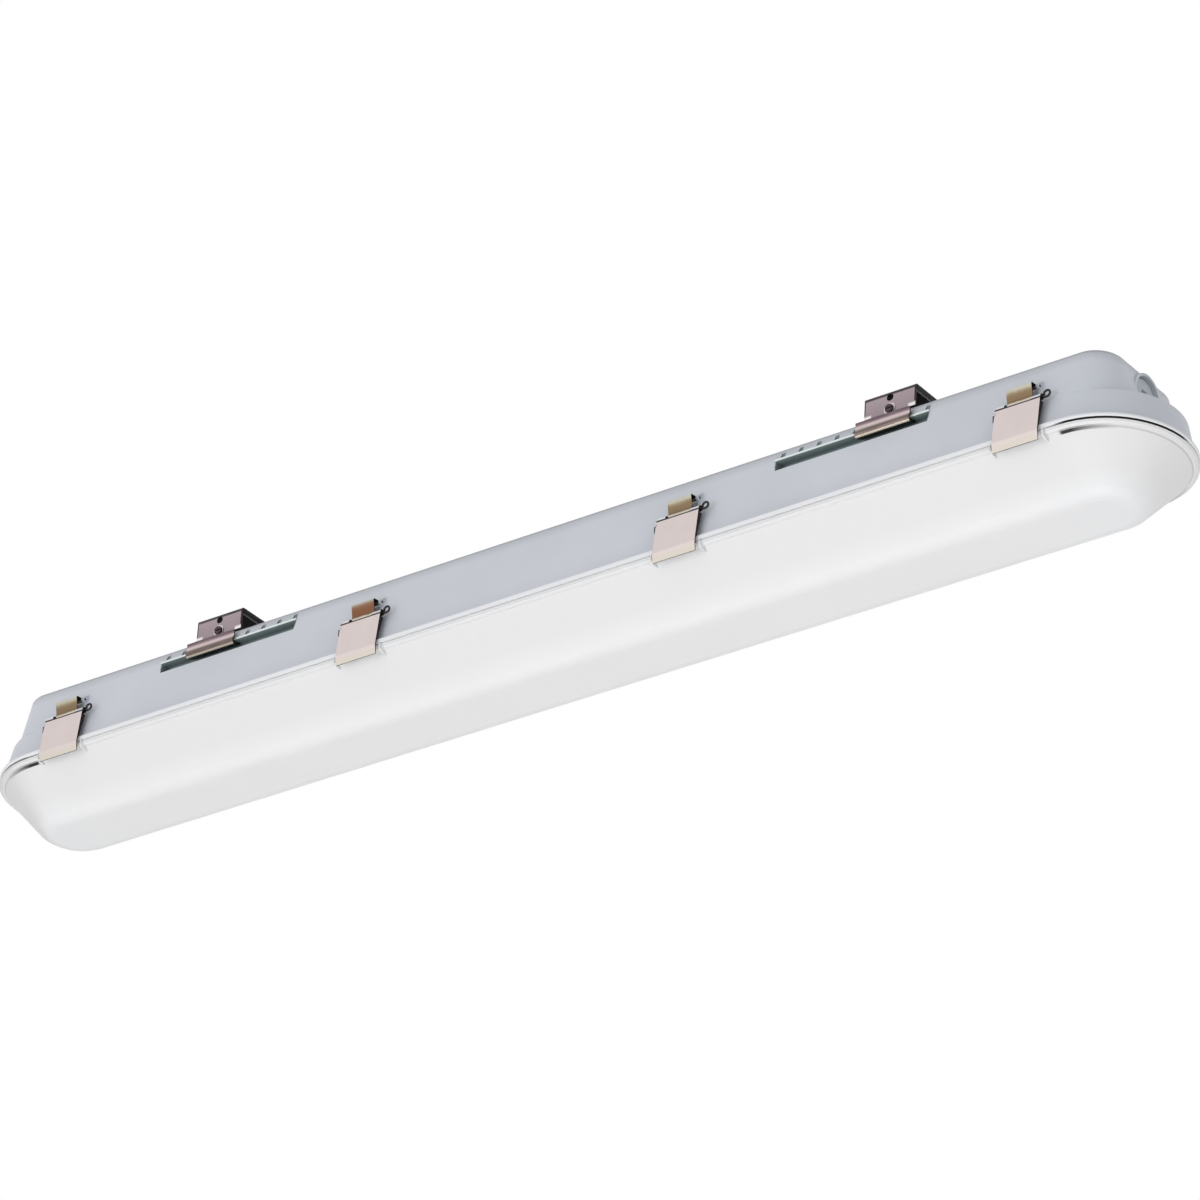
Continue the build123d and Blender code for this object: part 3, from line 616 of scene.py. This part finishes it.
pin_steel = Finish("drawn_pin_steel", Metallic=1.0)
pin_grain = pin_steel.noise(1.0, 2.0, pin_steel.stretched(*along_the_pin))
pin_steel.connect(
    Base_Color=pin_steel.mix(pin_grain, light(70, 66, 66), light(46, 43, 43)),
    Roughness=0.25 + 0.2 * pin_grain,
    Normal=pin_steel.bump(pin_grain, 0.00002, 0.5))
dress(pin_steel, "latch_hinge_pins")


def sheet_face(latch_x):
    """Tells a latch piece's outer faces, cut edges with the stop, and faces next to the wall."""
    def choose(face):
        middle = face.calc_center_median()
        outwards = face.normal.y * (1 if middle.y > 0 else -1)
        beside = abs(middle.x - latch_x) > plate_half_width + 0.1 * mm
        if beside or abs(face.normal.x) > square_on or face.normal.z < -square_on:
            return cut_edge
        return inner_face if outwards < -0.1 else outer_face
    return choose


def side_returns(latch_x, side):
    """Narrow flanges that stiffen a plate's side edges and taper to its lip, and a small stop."""
    def add(shape):
        for end in (-1, 1):
            edge_x = latch_x + end * plate_half_width
            flange = shape.faces.new([
                shape.verts.new((edge_x, side * reach * mm, joint_z + rise * mm))
                for reach, rise in return_outline])
            wall = bmesh.ops.extrude_face_region(shape, geom=[flange])["geom"]
            bmesh.ops.translate(
                shape, vec=(-end * return_thickness, 0, 0),
                verts=[part for part in wall if isinstance(part, bmesh.types.BMVert)])
            closed = {face for edge in flange.edges for face in edge.link_faces}
            closed.update(part for part in wall if isinstance(part, bmesh.types.BMFace))
            bmesh.ops.recalc_face_normals(shape, faces=list(closed))
        stop_x = latch_x + side * (plate_half_width + stop_size.x / 2 - stop_sink)
        bmesh.ops.create_cube(shape, size=1.0, matrix=Matrix.LocRotScale(
            (stop_x, side * stop_reach, joint_z + stop_height), None, stop_size))
    return add


for side_name, side in (("front", -1), ("rear", 1)):
    for number in range(4):
        place = f"{side_name}_{number + 1}"
        latch_x = middle_x + (number - 1.5) * latch_spacing
        pressed_sheet(
            f"lever_plate_{place}", f"latch_lever_{place}", f"lever_{place}",
            plate_rounding, (strip, edge_shade_finish, strip_back), sheet_face(latch_x),
            side_returns(latch_x, side))
        pressed_sheet(
            f"hook_strap_{place}", f"latch_hook_{place}", f"hook_{place}",
            strap_rounding, (tinted, edge_shade_finish, strip_back), sheet_face(latch_x))
        dress(pin_steel, f"latch_pin_{place}")


# Ceiling brackets
# Two inverted channels bent from stainless sheet. Their flared lips hook into the housing's slots,
# and a slotted screw goes through each side into a nut.

bracket_half_depth = 54.25 * mm
bracket_spacing = 734.0 * mm
bracket_half_width = 26.0 * mm
bracket_sheet = 1.5 * mm
bracket_rise = 44.0 * mm
bracket_rounding = 0.2 * mm
wall_low = 79.5 * mm
flare_low = 58.0 * mm
screw_height = 84.0 * mm
wall_below_screw = wall_low - screw_height
ring_inner, ring_outer = 4.6 * mm, 5.5 * mm
lip_depth = 4.5 * mm
lip_size = (bracket_sheet, 2 * bracket_half_depth - 2 * bracket_sheet, lip_depth)
along_the_sheet = (120.0, 200.0, 2400.0)
across_the_edge = (1800.0, 200.0, 1800.0)
lip_edge = inner_face + 1

sheet = Finish("stainless_with_painted_light", Metallic=1.0)
rolled = sheet.noise(1.0, 3.0, sheet.stretched(*along_the_sheet))
bracket_height = (sheet.z - joint_z - flare_low) * (1.0 / bracket_rise)
from_screw = abs(abs(sheet.x) - bracket_spacing / 2)
over_screw = sheet.z - joint_z - screw_height
square = from_screw * from_screw + over_screw * over_screw
on_side = abs(sheet.y).step(bracket_half_depth - 2.0 * mm, bracket_half_depth - 0.5 * mm)
ring_highlight = square.band(
    (ring_inner - 0.5 * mm) ** 2, (ring_inner - 0.2 * mm) ** 2,
    (ring_outer + 0.1 * mm) ** 2, (ring_outer + 0.4 * mm) ** 2)
corner_highlight = (
    from_screw.step(bracket_half_width - 8.0 * mm, bracket_half_width - 6.0 * mm)
    * over_screw.band(
        wall_below_screw - 1.5 * mm, wall_below_screw - 0.5 * mm,
        wall_below_screw + 3.0 * mm, wall_below_screw + 4.4 * mm))
side_line = (
    from_screw.step(bracket_half_width - 1.3 * mm, bracket_half_width - 0.9 * mm)
    * over_screw.step(wall_below_screw + 4.0 * mm, wall_below_screw + 5.0 * mm))
# Painted highlights and shade in bands across the bent sheet, from the flare's foot to the top
# plate
light_and_shade_bands = sheet.ramp(
    bracket_height,
    (0.0, light(206, 196, 176)), (0.035, light(214, 204, 184)), (0.045, light(84, 70, 62)),
    (0.15, light(96, 82, 76)), (0.17, light(186, 170, 166)), (0.225, light(212, 196, 194)),
    (0.27, light(130, 110, 118)), (0.31, light(84, 64, 74)), (0.48, light(92, 72, 82)),
    (0.54, light(146, 132, 138)), (0.89, light(160, 146, 150)), (0.91, light(36, 32, 34)))
light_and_shade_bands = sheet.mix(on_side + bracket_height.step(0.9, 0.7), light(176, 164, 166), light_and_shade_bands)
# Painted highlights on the rings round the screws and at the lower corners, a dark line near each
# side edge, and a random lighter mottle
for mark, colour in (
        (0.25 * sheet.noise(70.0, 3.0), light(190, 176, 180)),
        (ring_highlight, light(214, 200, 204)),
        (corner_highlight, light(234, 225, 227)),
        (side_line, light(52, 46, 49))):
    light_and_shade_bands = sheet.mix(mark, light_and_shade_bands, colour)
sheet.connect(
    Base_Color=light_and_shade_bands,
    Roughness=0.24 + 0.16 * rolled,
    Normal=sheet.bump(rolled, 0.00003, 0.5))

# The channel's inner faces and its end lips are painted near black, as shade
scale = Finish("channel_painted_shade", Metallic=1.0)
shade_mottle = scale.noise(240.0, 4.0)
scale.connect(
    Base_Color=scale.mix(shade_mottle, light(14, 13, 14), light(30, 27, 29)),
    Roughness=0.3 + 0.3 * shade_mottle,
    Normal=scale.bump(shade_mottle, 0.00003, 0.5))

# The end lips' lower edges are painted bright, as a highlight
lip_edge_highlight = Finish("lip_edge_painted_highlight", Metallic=1.0)
scratches = lip_edge_highlight.noise(1.0, 2.0, lip_edge_highlight.stretched(*across_the_edge))
lip_edge_highlight.connect(
    Base_Color=lip_edge_highlight.mix(scratches, light(222, 214, 216), light(198, 190, 192)),
    Roughness=0.3 + 0.2 * scratches,
    Normal=lip_edge_highlight.bump(scratches, 0.00002, 0.5))


def channel_face(face):
    """Tells a bracket's outer faces, cut edges, inner faces with the end lips, and lips' edges."""
    middle = face.calc_center_median()
    if abs(face.normal.x) > square_on:
        return inner_face if abs(middle.y) < 1.0 * mm and middle.z > -8.0 * mm else cut_edge
    if face.normal.z < -square_on and abs(middle.z + bracket_sheet + lip_depth) < 0.1 * mm:
        return lip_edge
    outwards = face.normal.y * (1 if middle.y > 0 else -1)
    if abs(middle.y) < bracket_half_depth - 2.0 * mm and middle.z - joint_z > wall_low:
        return outer_face if face.normal.z > 0.5 else inner_face
    return outer_face if outwards > 0.0 else inner_face


def end_lips(bracket_x):
    """Short lips turned down at both ends of a bracket's top plate."""
    def add(shape):
        for end in (-1, 1):
            lip_x = bracket_x + end * (bracket_half_width - bracket_sheet / 2)
            bmesh.ops.create_cube(shape, size=1.0, matrix=Matrix.LocRotScale(
                (lip_x, 0, -bracket_sheet - lip_depth / 2), None, lip_size))
    return add


for side_name, side in (("left", -1), ("right", 1)):
    pressed_sheet(
        f"bracket_channel_{side_name}", f"ceiling_bracket_{side_name}", f"bracket_{side_name}",
        bracket_rounding, (sheet, edge_shade_finish, scale, lip_edge_highlight), channel_face,
        end_lips(side * bracket_spacing / 2))

screw_steel = Finish("dark_screw_steel", Metallic=1.0)
turned_marks = screw_steel.noise(500.0, 3.0)
screw_steel.connect(
    Base_Color=screw_steel.mix(turned_marks, light(88, 78, 80), light(60, 52, 55)),
    Roughness=0.25 + 0.25 * turned_marks,
    Normal=screw_steel.bump(turned_marks, 0.00002, 0.4))
dress(screw_steel, "bracket_screws_left", "bracket_screws_right")
